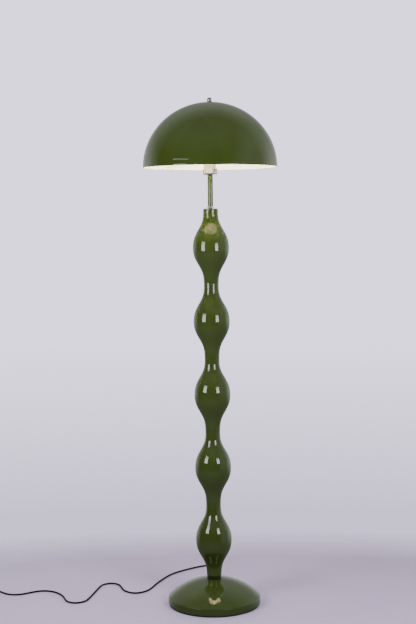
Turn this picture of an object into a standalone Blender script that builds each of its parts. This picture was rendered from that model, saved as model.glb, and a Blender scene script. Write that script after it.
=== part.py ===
"""Floor lamp: domed base, column of five turned gourd beads, stem, lampholder, harp and dome shade.

Metres, +Z up, the front faces -Y. The origin is on the floor, on the lamp's axis.
Each object is one physical piece. Pieces that touch keep a gap of GAP.
"""
import math

import bmesh
import bpy
import numpy as np
from mathutils import Matrix, Vector

for old in list(bpy.data.objects):
    bpy.data.objects.remove(old)

# ---------------------------------------------------------------- driving dimensions
TAU = 2 * math.pi
GAP = 0.0003            # clearance between pieces that touch
MERGE = 0.000001        # vertices closer than this are one
SHARP = math.radians(32)

FINE = 40               # steps round the shade and the base
ROUND = 24              # steps round the beads
SMALL = 16              # steps round small turned pieces
HEX = 12                # steps round a hexagon, two to a side

# base
BASE_R = 0.140
BAND_TOP = 0.024        # top of the base's straight band
DOME_RISE = 0.055
BASE_WALL = 0.0015
PAD_R = 0.1385
PAD_TOP = 0.004
PAD_HOLE_R = 0.016
FLANGE_R = 0.126        # inner edge of the base's turned-in flange
DOME_R = (BASE_R ** 2 + DOME_RISE ** 2) / (2 * DOME_RISE)
DOME_CENTRE_Z = BAND_TOP + DOME_RISE - DOME_R
CROWN_R = 0.0225        # flat pressed seat for the column's collar
CROWN_Z = DOME_CENTRE_Z + math.sqrt(DOME_R ** 2 - CROWN_R ** 2)
PAD_CLEAR_Z = PAD_TOP + GAP

# column
NECK_R = 0.0224
COLUMN_BOTTOM = 0.0894
BEAD_PITCH = 0.2220
BEAD_COUNT = 5
BEAD_WALL = 0.0014
BEAD_TERMS = (0.03748, 0.01708, 0.00097, -0.00106)   # radius as a cosine series up one bead
BEAD_SAG = 0.0008       # how much fuller a bead is below its middle than above
CAP_PROUD = 0.0020      # the cap stands this far above the last whole pitch
COLUMN_TOP = COLUMN_BOTTOM + BEAD_COUNT * BEAD_PITCH + CAP_PROUD
CAP_THICK = 0.0033

# tie tube, nuts and stem, on an M10 thread
THREAD_R = 0.0050
THREAD_BORE_R = 0.0036
CLEAR_R = THREAD_R + GAP
TIE_BOTTOM = 0.0215
NUT_FLATS = 0.017
STEM_R = 0.0080
STEM_BORE_R = 0.0066
STEM_BOTTOM = COLUMN_TOP + 0.0071
STEM_TOP = 1.2984
BUSH_LENGTH = 0.012

# lampholder, on its axis from the stem up
SADDLE_Z = 1.3022
SADDLE_THICK = 0.0018
HOLDER_R = 0.0195
HOLDER_Z = SADDLE_Z + SADDLE_THICK + GAP
HOLDER_SPLIT = 1.3270
HOLDER_TOP = 1.3610
BLOCK_Z = 1.3290
BLOCK_TOP = 1.3350
CONTACT_THICK = 0.0020
TERMINAL_X = 0.009
TERMINAL_SCREW_R = 0.0016

# bulb
GLOBE_R = 0.0300
GLOBE_WALL = 0.0012
GLOBE_RISE = 0.0450                # from the globe's widest ring to its top
GLOBE_MIDDLE = 0.0085              # from its foot to its widest ring

# harp, a wire loop in a vertical plane through the axis
HARP_ANGLE = math.radians(-52)     # direction of the front leg, from +X
HARP_WIRE_R = 0.0016
EAR_S = 0.026                      # distance of the legs from the axis at the saddle
LEG_BOTTOM = 1.3167
BOSS_Z = 1.5045
BOSS_TOP = 1.5122
BOSS_R = 0.0060
FERRULE_R = 0.0052
FERRULE_BORE_R = 0.0033
FERRULE_HEIGHT = 0.0155

# shade
SHADE_R = 0.200
RIM_Z = 1.3236
SHADE_RISE = 0.1928
SHADE_WALL = 0.0010
SEAT_R = 0.012                     # flat pressed seat round the shade's hole
STUD_R = 0.0031
SPINDLE_R = 0.0027

# cord
CORD_R = 0.00275
GLAND_Z = 0.0125
GLAND_END_Y = 0.1725
FLOOR_Z = CORD_R + 0.00005         # height of a cord's centreline on the floor
COIL_CENTRE = Vector((-0.830, 0.1075))
COIL_R = 0.0325
COIL_Z = 0.0012                    # the coil lies on its tie
COIL_TURNS = 2.5
CORD_STEP = 0.019                  # spacing of a tube's points on the long run
SWITCH_CENTRE = Vector((-0.747, 0.140, 0))
SWITCH_HALF = 0.033
SWITCH_CORD_Z = 0.0075             # height of the cord where it enters the switch
PLUG_BACK = Vector((-0.772, 0.075, 0.0072))
PLUG_LENGTH = 0.036
SLANT_GAP = 0.0008                 # room for a cord's end that meets a face at a slight angle


# ---------------------------------------------------------------- materials
def paint(name, colour, metallic, roughness):
    """A Principled material in one colour."""
    made = bpy.data.materials.new(name)
    made.use_nodes = True
    made.diffuse_color = (*colour, 1)
    shader = made.node_tree.nodes["Principled BSDF"]
    shader.inputs["Base Color"].default_value = (*colour, 1)
    shader.inputs["Metallic"].default_value = metallic
    shader.inputs["Roughness"].default_value = roughness
    return made


GREEN = paint("gloss_green_paint", (0.060, 0.105, 0.012), 0.0, 0.15)
DARK_GREEN = paint("dark_green_collar", (0.012, 0.018, 0.005), 0.0, 0.35)
CHROME = paint("bright_chrome", (0.62, 0.62, 0.62), 1.0, 0.12)
ZINC = paint("zinc_plate", (0.50, 0.50, 0.48), 1.0, 0.38)
IRON = paint("cast_iron", (0.07, 0.07, 0.07), 0.7, 0.75)
BRASS = paint("brass", (0.62, 0.42, 0.13), 1.0, 0.30)
CREAM = paint("cream_plastic", (0.80, 0.72, 0.52), 0.0, 0.35)
WHITE = paint("white_plastic", (0.80, 0.80, 0.78), 0.0, 0.40)
OPAL = paint("opal_diffuser", (0.90, 0.88, 0.82), 0.0, 0.45)
BLACK = paint("black_plastic", (0.015, 0.015, 0.015), 0.0, 0.45)
RUBBER = paint("black_pad", (0.012, 0.012, 0.012), 0.0, 0.85)


# ---------------------------------------------------------------- shape functions
def finish(name, bm, material):
    """Turns a bmesh into an object, smooth except at sharp edges."""
    bmesh.ops.remove_doubles(bm, verts=bm.verts[:], dist=MERGE)
    bmesh.ops.recalc_face_normals(bm, faces=bm.faces[:])
    mesh = bpy.data.meshes.new(name)
    bm.to_mesh(mesh)
    bm.free()
    mesh.materials.append(material)
    mesh.shade_smooth()
    mesh.set_sharp_from_angle(angle=SHARP)
    made = bpy.data.objects.new(name, mesh)
    bpy.context.collection.objects.link(made)
    return made


def spin_outline(name, outline, closed, material, steps):
    """Turns an outline of (radius, height) points about Z."""
    bm = bmesh.new()
    verts = [bm.verts.new((r, 0, z)) for r, z in outline]
    ends = verts[1:] + verts[:1] if closed else verts[1:]
    edges = [bm.edges.new(pair) for pair in zip(verts, ends)]
    bmesh.ops.spin(bm, geom=verts + edges, cent=(0, 0, 0), axis=(0, 0, 1), angle=TAU, steps=steps,
                   use_merge=True)
    return finish(name, bm, material)


def turned(name, outline, material, steps=SMALL):
    """A ring turned about Z from a closed outline that stays off the axis."""
    return spin_outline(name, outline, True, material, steps)


def turned_solid(name, outline, material, steps=SMALL):
    """A solid turned about Z. The outline is open and its first and last points are on the axis."""
    return spin_outline(name, outline, False, material, steps)


def bridge(bm, loops):
    """Joins neighbouring loops of equal length with quads."""
    for low, high in zip(loops, loops[1:]):
        count = len(low)
        for i in range(count):
            j = (i + 1) % count
            bm.faces.new((low[i], low[j], high[j], high[i]))


def sleeve(name, outer, inner, z0, z1, material, steps=SMALL):
    """A vertical sleeve between two outlines, each a function from angle to radius."""
    bm = bmesh.new()
    rings = []
    for radius, z in ((outer, z0), (outer, z1), (inner, z1), (inner, z0)):
        angles = [TAU * i / steps for i in range(steps)]
        rings.append([bm.verts.new((radius(a) * math.cos(a), radius(a) * math.sin(a), z)) for a in angles])
    bridge(bm, rings + rings[:1])
    return finish(name, bm, material)


def circle(radius):
    """The outline of a circle."""
    return lambda angle: radius


def hexagon(flats):
    """The outline of a hexagon, with a corner at angle 0."""
    side = math.radians(60)
    return lambda angle: flats / 2 / math.cos((angle % side) - side / 2)


def rounded_rectangle(half_x, half_y, corner, per_corner=4):
    """Points round a rectangle with round corners, anticlockwise."""
    points = []
    for quarter in range(4):
        sx = (1, -1, -1, 1)[quarter]
        sy = (1, 1, -1, -1)[quarter]
        for i in range(per_corner):
            a = math.radians(90) * (quarter + i / (per_corner - 1))
            points.append((sx * (half_x - corner) + corner * math.cos(a),
                           sy * (half_y - corner) + corner * math.sin(a)))
    return points


def tray(name, half_x, half_y, corner, wall, rim_z, outside_z, material):
    """A box with round corners, open at rim_z and closed at outside_z."""
    inside_z = outside_z + math.copysign(wall, rim_z - outside_z)
    outer = rounded_rectangle(half_x, half_y, corner)
    inner = rounded_rectangle(half_x - wall, half_y - wall, corner - wall)
    bm = bmesh.new()
    loops = [[bm.verts.new((x, y, z)) for x, y in points]
             for points, z in ((outer, outside_z), (outer, rim_z), (inner, rim_z), (inner, inside_z))]
    bridge(bm, loops)
    bm.faces.new(loops[0])
    bm.faces.new(loops[-1])
    return finish(name, bm, material)


def loft(name, sections, material):
    """A solid along X through rounded rectangles: (x, half width, half height, corner) each."""
    bm = bmesh.new()
    loops = [[bm.verts.new((x, y, z)) for y, z in rounded_rectangle(half_y, half_z, corner)]
             for x, half_y, half_z, corner in sections]
    bridge(bm, loops)
    bm.faces.new(loops[0])
    bm.faces.new(loops[-1])
    return finish(name, bm, material)


def cylinder(name, radius, depth, material, steps=SMALL):
    """A plain cylinder about Z, centred on its own origin."""
    bm = bmesh.new()
    bmesh.ops.create_cone(bm, cap_ends=True, segments=steps, radius1=radius, radius2=radius, depth=depth)
    return finish(name, bm, material)


def brick(name, size, material):
    """A plain rectangular block centred on its own origin."""
    bm = bmesh.new()
    bmesh.ops.create_cube(bm, size=1, matrix=Matrix.Diagonal((*size, 1)))
    return finish(name, bm, material)


def screw(name, place, seat_z, tip_z, head_r, head_height, shank_r, material):
    """A screw pointing up, with its head below seat_z."""
    made = turned_solid(name, [(0, seat_z - head_height), (head_r, seat_z - head_height), (head_r, seat_z),
                               (shank_r, seat_z), (shank_r, tip_z), (0, tip_z)], material, HEX)
    made.location = (*place, 0)
    return made


def combine(target, tool, operation):
    """Adds an exact Boolean to target. The tool stays as a hidden guide."""
    step = target.modifiers.new(tool.name, "BOOLEAN")
    step.operation = operation
    step.solver = "EXACT"
    step.object = tool
    tool.hide_render = True
    tool.display_type = "WIRE"


def hole(target, place, radius, depth, along="Z", steps=SMALL):
    """Drills a round hole through target at a point, along Y or Z."""
    tool = cylinder(target.name + "_drill_%d" % len(target.modifiers), radius, depth, target.data.materials[0],
                    steps)
    tool.location = place
    if along == "Y":
        tool.rotation_euler = (math.radians(90), 0, 0)
    combine(target, tool, "DIFFERENCE")


def smooth_curve(route, spacing):
    """A natural cubic spline through the route's points, read at even steps."""
    points = np.array([tuple(p) for p in route], float)
    knots = np.concatenate(([0], np.cumsum(np.linalg.norm(np.diff(points, axis=0), axis=1))))
    gaps = np.diff(knots)
    count = len(points)
    matrix = np.eye(count)
    right = np.zeros_like(points)
    for i in range(1, count - 1):
        matrix[i, i - 1:i + 2] = gaps[i - 1], 2 * (gaps[i - 1] + gaps[i]), gaps[i]
        right[i] = 6 * ((points[i + 1] - points[i]) / gaps[i] - (points[i] - points[i - 1]) / gaps[i - 1])
    bends = np.linalg.solve(matrix, right)
    fine = []
    for s in np.linspace(0, knots[-1], 30 * count):
        i = min(int(np.searchsorted(knots, s, side="right")) - 1, count - 2)
        a = (knots[i + 1] - s) / gaps[i]
        b = (s - knots[i]) / gaps[i]
        curve = ((a ** 3 - a) * bends[i] + (b ** 3 - b) * bends[i + 1]) * gaps[i] ** 2 / 6
        fine.append(a * points[i] + b * points[i + 1] + curve)
    fine = np.array(fine)
    travel = np.concatenate(([0], np.cumsum(np.linalg.norm(np.diff(fine, axis=0), axis=1))))
    steps = np.linspace(0, travel[-1], max(3, round(travel[-1] / spacing) + 1))
    return [Vector([np.interp(s, travel, fine[:, k]) for k in range(3)]) for s in steps]


def tube(name, points, radius, material, resolution=2):
    """A round tube along the points, with flat closed ends."""
    curve = bpy.data.curves.new(name, "CURVE")
    curve.dimensions = "3D"
    curve.bevel_depth = radius
    curve.bevel_resolution = resolution
    curve.use_fill_caps = True
    spline = curve.splines.new("POLY")
    spline.points.add(len(points) - 1)
    for slot, point in zip(spline.points, points):
        slot.co = (*point, 1)
    curve.materials.append(material)
    made = bpy.data.objects.new(name, curve)
    bpy.context.collection.objects.link(made)
    return made


# ---------------------------------------------------------------- base
def make_base():
    """Shell, pad, ballast and what clamps them."""
    first = math.asin(CROWN_R / DOME_R)
    last = math.asin(BASE_R / DOME_R)
    rows = 7
    angles = [first + (last - first) * i / (rows - 1) for i in range(rows)]
    outer = [(DOME_R * math.sin(a), DOME_CENTRE_Z + DOME_R * math.cos(a)) for a in angles]
    inner_r = DOME_R - BASE_WALL
    last_inner = math.asin((BASE_R - BASE_WALL) / inner_r)
    angles = [last_inner + (first - last_inner) * i / (rows - 1) for i in range(rows)]
    inner = [(inner_r * math.sin(a), DOME_CENTRE_Z + inner_r * math.cos(a)) for a in angles]
    inner[-1] = (CROWN_R, CROWN_Z - BASE_WALL)
    flange = [(BASE_R, PAD_CLEAR_Z), (FLANGE_R, PAD_CLEAR_Z), (FLANGE_R, PAD_CLEAR_Z + BASE_WALL),
              (BASE_R - BASE_WALL, PAD_CLEAR_Z + BASE_WALL)]
    crown = [(CLEAR_R, CROWN_Z - BASE_WALL), (CLEAR_R, CROWN_Z)]
    shell = turned("base_shell", outer + flange + inner + crown, GREEN, FINE)
    hole(shell, (0, BASE_R, GLAND_Z), 0.0052, 0.012, along="Y")

    sleeve("base_pad", circle(PAD_R), circle(PAD_HOLE_R), 0, PAD_TOP, RUBBER, FINE)

    ballast_top = 0.044
    recess_top = 0.034
    turned("ballast_disc", [(CLEAR_R, recess_top), (0.034, recess_top), (0.034, 0.020), (0.105, 0.020),
                            (0.105, 0.040), (0.100, ballast_top), (CLEAR_R, ballast_top)], IRON, ROUND)
    sleeve("base_spacer", circle(0.0090), circle(CLEAR_R), ballast_top + GAP, CROWN_Z - BASE_WALL - GAP, ZINC)
    sleeve("base_washer", circle(0.0130), circle(CLEAR_R), recess_top - 0.0023, recess_top - GAP, ZINC)
    sleeve("base_nut", hexagon(NUT_FLATS), circle(CLEAR_R), 0.0234, recess_top - 0.0026, ZINC, HEX)

    neck_r = 0.0048
    outer = [(0.0033, 0.1345), (0.0062, 0.1345), (0.0062, 0.1378), (neck_r, 0.1378), (neck_r, 0.1405),
             (0.0072, 0.1405), (0.0072, 0.1437), (0.0058, 0.1450), (0.0048, 0.1585),
             (0.0039, GLAND_END_Y), (0.0031, GLAND_END_Y)]
    gland = turned("cord_gland", outer, BLACK)
    gland.rotation_euler = (math.radians(-90), 0, 0)
    gland.location = (0, 0, GLAND_Z)

    collar_z = CROWN_Z + GAP
    collar_top = COLUMN_BOTTOM - GAP
    spigot_r = NECK_R - BEAD_WALL - 0.0010
    turned("foot_collar", [(CLEAR_R, collar_z), (0.0218, collar_z), (0.0218, collar_top), (spigot_r, collar_top),
                           (spigot_r, collar_top + 0.008), (CLEAR_R, collar_top + 0.008)], DARK_GREEN, ROUND)


# ---------------------------------------------------------------- column
def bead_radius(share):
    """Outer radius of a bead at a share of its height, 0 and 1 at its necks."""
    angle = TAU * (share - 0.5)
    even = sum(term * math.cos(order * angle) for order, term in enumerate(BEAD_TERMS))
    return even - BEAD_SAG * math.sin(angle)


def make_column():
    """Five hollow beads, the bushes between them, the cap, the tie tube and its nut."""
    for number in range(BEAD_COUNT):
        low = COLUMN_BOTTOM + number * BEAD_PITCH
        high = low + BEAD_PITCH - GAP
        if number == BEAD_COUNT - 1:
            high = COLUMN_TOP - CAP_THICK - GAP
        outer = [(bead_radius(i / 12), low + i / 12 * (high - low)) for i in range(13)]
        inner = [(bead_radius(i / 6) - BEAD_WALL, low + i / 6 * (high - low)) for i in range(6, -1, -1)]
        turned("column_bead_%d" % (number + 1), outer + inner, GREEN, ROUND)

    bush_r = NECK_R - BEAD_WALL - 0.0010
    for number in range(1, BEAD_COUNT):
        middle = COLUMN_BOTTOM + number * BEAD_PITCH
        sleeve("centring_bush_%d" % number, circle(bush_r), circle(CLEAR_R), middle - 0.006, middle + 0.006,
               WHITE)
    cap_z = COLUMN_TOP - CAP_THICK
    turned("column_cap", [(CLEAR_R, COLUMN_TOP), (NECK_R, COLUMN_TOP), (NECK_R, cap_z), (bush_r, cap_z),
                          (bush_r, cap_z - 0.006), (CLEAR_R, cap_z - 0.006)], GREEN, ROUND)
    sleeve("tie_tube", circle(THREAD_R), circle(THREAD_BORE_R), TIE_BOTTOM, COLUMN_TOP + 0.0165, ZINC, HEX)
    sleeve("column_nut", hexagon(NUT_FLATS), circle(CLEAR_R), COLUMN_TOP + GAP, STEM_BOTTOM - GAP, CHROME,
           2 * HEX)


# ---------------------------------------------------------------- stem and lampholder
def make_stem():
    """The thin green tube with its threaded bushes, nipple and nut."""
    sleeve("stem_tube", circle(STEM_R), circle(STEM_BORE_R), STEM_BOTTOM, STEM_TOP, GREEN, 20)
    for name, low in (("stem_bush_lower", STEM_BOTTOM + GAP), ("stem_bush_upper", STEM_TOP - BUSH_LENGTH - GAP)):
        sleeve(name, circle(STEM_BORE_R - GAP), circle(CLEAR_R), low, low + BUSH_LENGTH, BRASS)
    sleeve("stem_nipple", circle(THREAD_R), circle(THREAD_BORE_R), STEM_TOP - 0.0102, HOLDER_Z + 0.0070, ZINC,
           HEX)
    sleeve("stem_nut", hexagon(0.0145), circle(CLEAR_R), STEM_TOP + GAP, SADDLE_Z - GAP, CHROME, 2 * HEX)


def make_lampholder():
    """Cap, body and the live parts inside."""
    wall = 0.0022
    corner = 0.0045
    arc = [math.radians(90) * i / 3 for i in range(4)]
    outer = [(HOLDER_R - corner + corner * math.sin(a), HOLDER_Z + corner - corner * math.cos(a)) for a in arc]
    turned("holder_cap", [(CLEAR_R, HOLDER_Z)] + outer
           + [(HOLDER_R, HOLDER_SPLIT), (HOLDER_R - wall, HOLDER_SPLIT), (HOLDER_R - wall, HOLDER_Z + corner),
              (HOLDER_R - corner, HOLDER_Z + wall), (CLEAR_R, HOLDER_Z + wall)], CREAM, 24)
    mouth_r = 0.0150
    body_z = HOLDER_SPLIT + GAP
    turned("holder_body", [(HOLDER_R - wall, body_z), (HOLDER_R, body_z), (HOLDER_R, HOLDER_TOP - 0.001),
                           (HOLDER_R - 0.001, HOLDER_TOP), (mouth_r, HOLDER_TOP), (mouth_r, HOLDER_TOP - 0.0035),
                           (HOLDER_R - wall, HOLDER_TOP - 0.0045)], CREAM, 24)
    block_r = HOLDER_R - wall - GAP
    block = turned_solid("contact_block", [(0, BLOCK_Z), (block_r, BLOCK_Z), (block_r, BLOCK_TOP),
                                           (0, BLOCK_TOP)], WHITE, 24)
    for name, x in (("terminal_screw_left", -TERMINAL_X), ("terminal_screw_right", TERMINAL_X)):
        hole(block, (x, 0, (BLOCK_Z + BLOCK_TOP) / 2), TERMINAL_SCREW_R + GAP, 0.010, steps=HEX)
        screw(name, (x, 0), BLOCK_Z - GAP, BLOCK_TOP, 0.0028, 0.0018, TERMINAL_SCREW_R, BRASS)
    strip = brick("centre_contact", (0.012, 0.005, CONTACT_THICK), BRASS)
    strip.location = (0, 0, BLOCK_TOP + GAP + CONTACT_THICK / 2)
    sleeve("screw_shell", circle(0.0145), circle(0.0138), BLOCK_TOP + GAP, HOLDER_TOP - 0.0050, BRASS, 24)


def make_bulb():
    """Screw cap, housing and opal globe of the bulb."""
    foot = BLOCK_TOP + GAP + CONTACT_THICK + GAP
    cap_r = 0.0131
    turned_solid("bulb_cap", [(0, foot), (0.0045, foot), (0.0045, foot + 0.0022), (0.0100, foot + 0.0036),
                              (cap_r, foot + 0.0056), (cap_r, foot + 0.0240), (0, foot + 0.0240)], ZINC, 24)
    housing_z = foot + 0.0240 + GAP
    turned_solid("bulb_housing", [(0, housing_z), (0.0133, housing_z), (0.0150, housing_z + 0.004),
                                  (0.0225, housing_z + 0.016), (0.0288, housing_z + 0.034),
                                  (0, housing_z + 0.034)], WHITE, 24)
    globe_z = housing_z + 0.034 + GAP
    turned_solid("bulb_globe", globe_outline(globe_z, 0) + globe_outline(globe_z, GLOBE_WALL)[::-1], OPAL)


def globe_outline(foot, inset):
    """The globe's outline from its top down to its open foot, moved inwards by inset."""
    middle = foot + GLOBE_MIDDLE
    first = math.radians(90)
    last = -math.asin(GLOBE_MIDDLE / GLOBE_R)
    rows = 7
    points = [(0, middle + GLOBE_RISE - inset)]
    for i in range(1, rows):
        a = first + (last - first) * i / (rows - 1)
        rise = GLOBE_RISE - inset if a > 0 else GLOBE_R
        points.append(((GLOBE_R - inset) * math.cos(a), middle + rise * math.sin(a)))
    return points


# ---------------------------------------------------------------- harp
def in_harp_plane(s, z):
    """A point at distance s from the axis towards the front leg."""
    return Vector((s * math.cos(HARP_ANGLE), s * math.sin(HARP_ANGLE), z))


def make_harp():
    """Saddle, locking ferrules, wire loop with its boss, and the turning stud."""
    half_y = 0.0060
    saddle = loft("harp_saddle", [(-EAR_S - 0.0012, half_y, SADDLE_THICK / 2, 0.0006),
                                  (EAR_S + 0.0012, half_y, SADDLE_THICK / 2, 0.0006)], ZINC)
    saddle.location = (0, 0, SADDLE_Z + SADDLE_THICK / 2)
    saddle.rotation_euler = (0, 0, HARP_ANGLE)
    for side in (-1, 1):
        ear = cylinder("harp_ear_%d" % side, 0.0027, 0.0135, ZINC, HEX)
        ear.location = in_harp_plane(side * EAR_S, SADDLE_Z + 0.0140 / 2)
        combine(saddle, ear, "UNION")
    hole(saddle, (0, 0, SADDLE_Z), CLEAR_R, 0.02)

    straight = 1.3380
    half = [(0.0565, 1.400), (0.0565, 1.430), (0.0480, 1.470), (0.0280, 1.500), (0.0100, 1.5078)]
    right = [(EAR_S, LEG_BOTTOM), (EAR_S, straight), (0.0310, 1.354)] + half
    left = [(-s, z) for s, z in reversed(right)]
    route = [in_harp_plane(s, z) for s, z in right] + [in_harp_plane(0, 1.5083)] \
        + [in_harp_plane(s, z) for s, z in left]
    wire = tube("harp_guide", smooth_curve(route, 0.0135), HARP_WIRE_R, CHROME)
    bpy.context.view_layer.update()
    shape = bpy.data.meshes.new_from_object(wire.evaluated_get(bpy.context.evaluated_depsgraph_get()))
    bpy.data.objects.remove(wire)
    harp = bpy.data.objects.new("harp_wire", shape)
    bpy.context.collection.objects.link(harp)
    boss = cylinder("harp_boss_guide", BOSS_R, BOSS_TOP - BOSS_Z, CHROME)
    boss.location = (0, 0, (BOSS_Z + BOSS_TOP) / 2)
    combine(harp, boss, "UNION")
    hole(harp, (0, 0, (BOSS_Z + BOSS_TOP) / 2), SPINDLE_R + GAP, 0.02)

    edge = 0.001
    outline = [(FERRULE_BORE_R, 0), (FERRULE_R, 0), (FERRULE_R, FERRULE_HEIGHT - edge),
               (FERRULE_R - edge, FERRULE_HEIGHT), (FERRULE_BORE_R, FERRULE_HEIGHT)]
    for name, side in (("harp_ferrule_front", 1), ("harp_ferrule_back", -1)):
        ferrule = turned(name, outline, CHROME)
        ferrule.location = in_harp_plane(side * EAR_S, HOLDER_Z)


# ---------------------------------------------------------------- shade
def make_shade():
    """The dome, the stud it turns on, its washer and the finial."""
    top = RIM_Z + SHADE_RISE
    rows = 9
    first = math.asin(SEAT_R / SHADE_R)
    angles = [first + (math.radians(90) - first) * i / (rows - 1) for i in range(rows)]
    outer = [(SHADE_R * math.sin(a), RIM_Z + SHADE_RISE * math.cos(a)) for a in angles]
    inner_r = SHADE_R - SHADE_WALL
    inner = [(inner_r * math.sin(a), RIM_Z + (SHADE_RISE - SHADE_WALL) * math.cos(a)) for a in reversed(angles)]
    seat_z = outer[0][1]
    inner[-1] = (SEAT_R, seat_z - SHADE_WALL)
    hole_r = STUD_R + GAP
    turned("shade", outer + inner + [(hole_r, seat_z - SHADE_WALL), (hole_r, seat_z)], GREEN, FINE)

    stud_top = top + 0.0075
    flange_top = seat_z - SHADE_WALL - GAP
    flange_z = BOSS_TOP + GAP
    head_top = BOSS_Z - GAP
    turned_solid("swivel_stud", [(0, head_top - 0.003), (0.0045, head_top - 0.003), (0.0045, head_top),
                                 (SPINDLE_R, head_top), (SPINDLE_R, flange_z), (0.011, flange_z),
                                 (0.011, flange_top), (STUD_R, flange_top), (STUD_R, stud_top),
                                 (0, stud_top)], CHROME)
    washer_z = seat_z + GAP
    sleeve("shade_washer", circle(0.0085), circle(STUD_R + GAP), washer_z, washer_z + 0.0010, CHROME, 20)

    ball_r = 0.0076
    ball_z = top + 0.0062
    finial_z = washer_z + 0.0010 + GAP
    start = math.asin((finial_z + 0.0010 - ball_z) / ball_r)
    angles = [start + (math.radians(90) - start) * i / 7 for i in range(8)]
    ball = [(ball_r * math.cos(a), ball_z + ball_r * math.sin(a)) for a in angles]
    ball[-1] = (0, ball_z + ball_r)
    bore_r = STUD_R + GAP
    turned_solid("finial", [(0, stud_top + GAP), (bore_r, stud_top + GAP), (bore_r, finial_z),
                            (ball[0][0], finial_z)] + ball, CHROME, 20)


# ---------------------------------------------------------------- cord and what is on it
def coil_point(turn):
    """Centreline of the coil after a number of turns. It starts at the coil's back, going to -X."""
    angle = math.radians(90) + TAU * turn
    return Vector((COIL_CENTRE.x + COIL_R * math.cos(angle), COIL_CENTRE.y + COIL_R * math.sin(angle),
                   COIL_Z + CORD_R + 2 * CORD_R * turn))


RUN_ROUTE = [
    (0.000, GLAND_END_Y + GAP, GLAND_Z), (0.000, 0.190, 0.0120), (0.0005, 0.222, 0.0062),
    (0.003, 0.262, FLOOR_Z), (0.009, 0.305, FLOOR_Z), (0.017, 0.338, FLOOR_Z), (0.017, 0.366, FLOOR_Z),
    (-0.002, 0.386, FLOOR_Z), (-0.030, 0.3825, FLOOR_Z), (-0.087, 0.345, FLOOR_Z), (-0.137, 0.294, FLOOR_Z),
    (-0.169, 0.232, FLOOR_Z), (-0.192, 0.168, FLOOR_Z), (-0.214, 0.1155, FLOOR_Z), (-0.248, 0.0945, FLOOR_Z),
    (-0.281, 0.117, FLOOR_Z), (-0.298, 0.163, FLOOR_Z), (-0.3095, 0.1865, FLOOR_Z), (-0.332, 0.1975, FLOOR_Z),
    (-0.3545, 0.186, FLOOR_Z), (-0.367, 0.153, FLOOR_Z), (-0.382, 0.078, FLOOR_Z), (-0.389, 0.045, FLOOR_Z),
    (-0.402, 0.015, FLOOR_Z), (-0.427, 0.0042, FLOOR_Z), (-0.4515, 0.0175, FLOOR_Z), (-0.465, 0.050, FLOOR_Z),
    (-0.485, 0.093, FLOOR_Z), (-0.512, 0.119, FLOOR_Z), (-0.545, 0.126, FLOOR_Z), (-0.577, 0.112, FLOOR_Z),
    (-0.603, 0.096, FLOOR_Z), (-0.630, 0.091, FLOOR_Z), (-0.654, 0.101, FLOOR_Z), (-0.672, 0.118, FLOOR_Z),
    (-0.684, 0.130, 0.0030), (-0.696, 0.1377, 0.0054), (-0.707, 0.1400, 0.0072),
    (SWITCH_CENTRE.x + SWITCH_HALF + SLANT_GAP, SWITCH_CENTRE.y, SWITCH_CORD_Z),
]


CLEAR_OF_COIL = 0.0225             # a straight cord this far past the tangent point is clear of the coil
TAIL_ROUTE = [
    (SWITCH_CENTRE.x - SWITCH_HALF - GAP, SWITCH_CENTRE.y, SWITCH_CORD_Z), (-0.787, SWITCH_CENTRE.y, 0.0070),
    (-0.797, SWITCH_CENTRE.y, 0.0050), (COIL_CENTRE.x + CLEAR_OF_COIL, SWITCH_CENTRE.y, COIL_Z + CORD_R),
]
END_ROUTE = [
    (COIL_CENTRE.x + CLEAR_OF_COIL, PLUG_BACK.y, coil_point(COIL_TURNS).z), (-0.798, PLUG_BACK.y, 0.0152),
    (-0.788, PLUG_BACK.y, 0.0102), (-0.779, PLUG_BACK.y, 0.0075), (PLUG_BACK.x - GAP, PLUG_BACK.y, PLUG_BACK.z),
]


def make_cord():
    """Inner lead, the run on the floor, the coil with its tie, and the tails to the switch and plug."""
    inner_route = [(0, GLAND_END_Y, GLAND_Z), (0, 0.120, GLAND_Z), (0, 0.060, GLAND_Z), (0, 0.0125, GLAND_Z),
                   (0, 0.0045, GLAND_Z + 0.0022), (0, 0.0010, GLAND_Z + 0.0065), (0, 0, 0.0240),
                   (0, 0, 0.060), (0, 0, 0.5), (0, 0, 1.0), (0, 0, 1.3215)]
    near = smooth_curve(inner_route[:8], 0.0065)
    tube("inner_lead", near + [Vector(p) for p in inner_route[8:]], CORD_R, BLACK)
    run = smooth_curve(RUN_ROUTE, CORD_STEP)
    for point in run:
        point.z = max(point.z, FLOOR_Z)
    tube("cord_run", run, CORD_R, BLACK)

    tube("cord_tail", smooth_curve(TAIL_ROUTE, 0.006), CORD_R, BLACK)
    tube("cord_end", smooth_curve(END_ROUTE, 0.006), CORD_R, BLACK)

    coil_top = COIL_Z + 2 * CORD_R * (COIL_TURNS + 1)
    coil_in = COIL_R - CORD_R
    coil_out = COIL_R + CORD_R
    coil = sleeve("cord_coil", circle(coil_out), circle(coil_in), COIL_Z, coil_top, BLACK, 32)
    coil.location = (*COIL_CENTRE, 0)

    thick = 0.0008
    bm = bmesh.new()
    loops = []
    for x, grow in ((-0.006, 0), (0.006, 0), (0.006, thick), (-0.006, thick)):
        low_y = coil_in - GAP - grow - 0.0010
        high_y = coil_out + GAP + grow
        low_z = COIL_Z - GAP - grow
        high_z = coil_top + GAP + grow
        corners = ((low_y, low_z), (high_y, low_z), (high_y, high_z), (low_y, high_z))
        loops.append([bm.verts.new((x, y, z)) for y, z in corners])
    bridge(bm, loops + loops[:1])
    tie = finish("cord_tie", bm, BLACK)
    tie.rotation_euler = (0, 0, math.radians(90))
    tie.location = (*COIL_CENTRE, 0)


def place_on_switch(piece):
    """Moves a piece modelled about the switch's own centre to its place."""
    piece.location = SWITCH_CENTRE
    return piece


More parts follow.
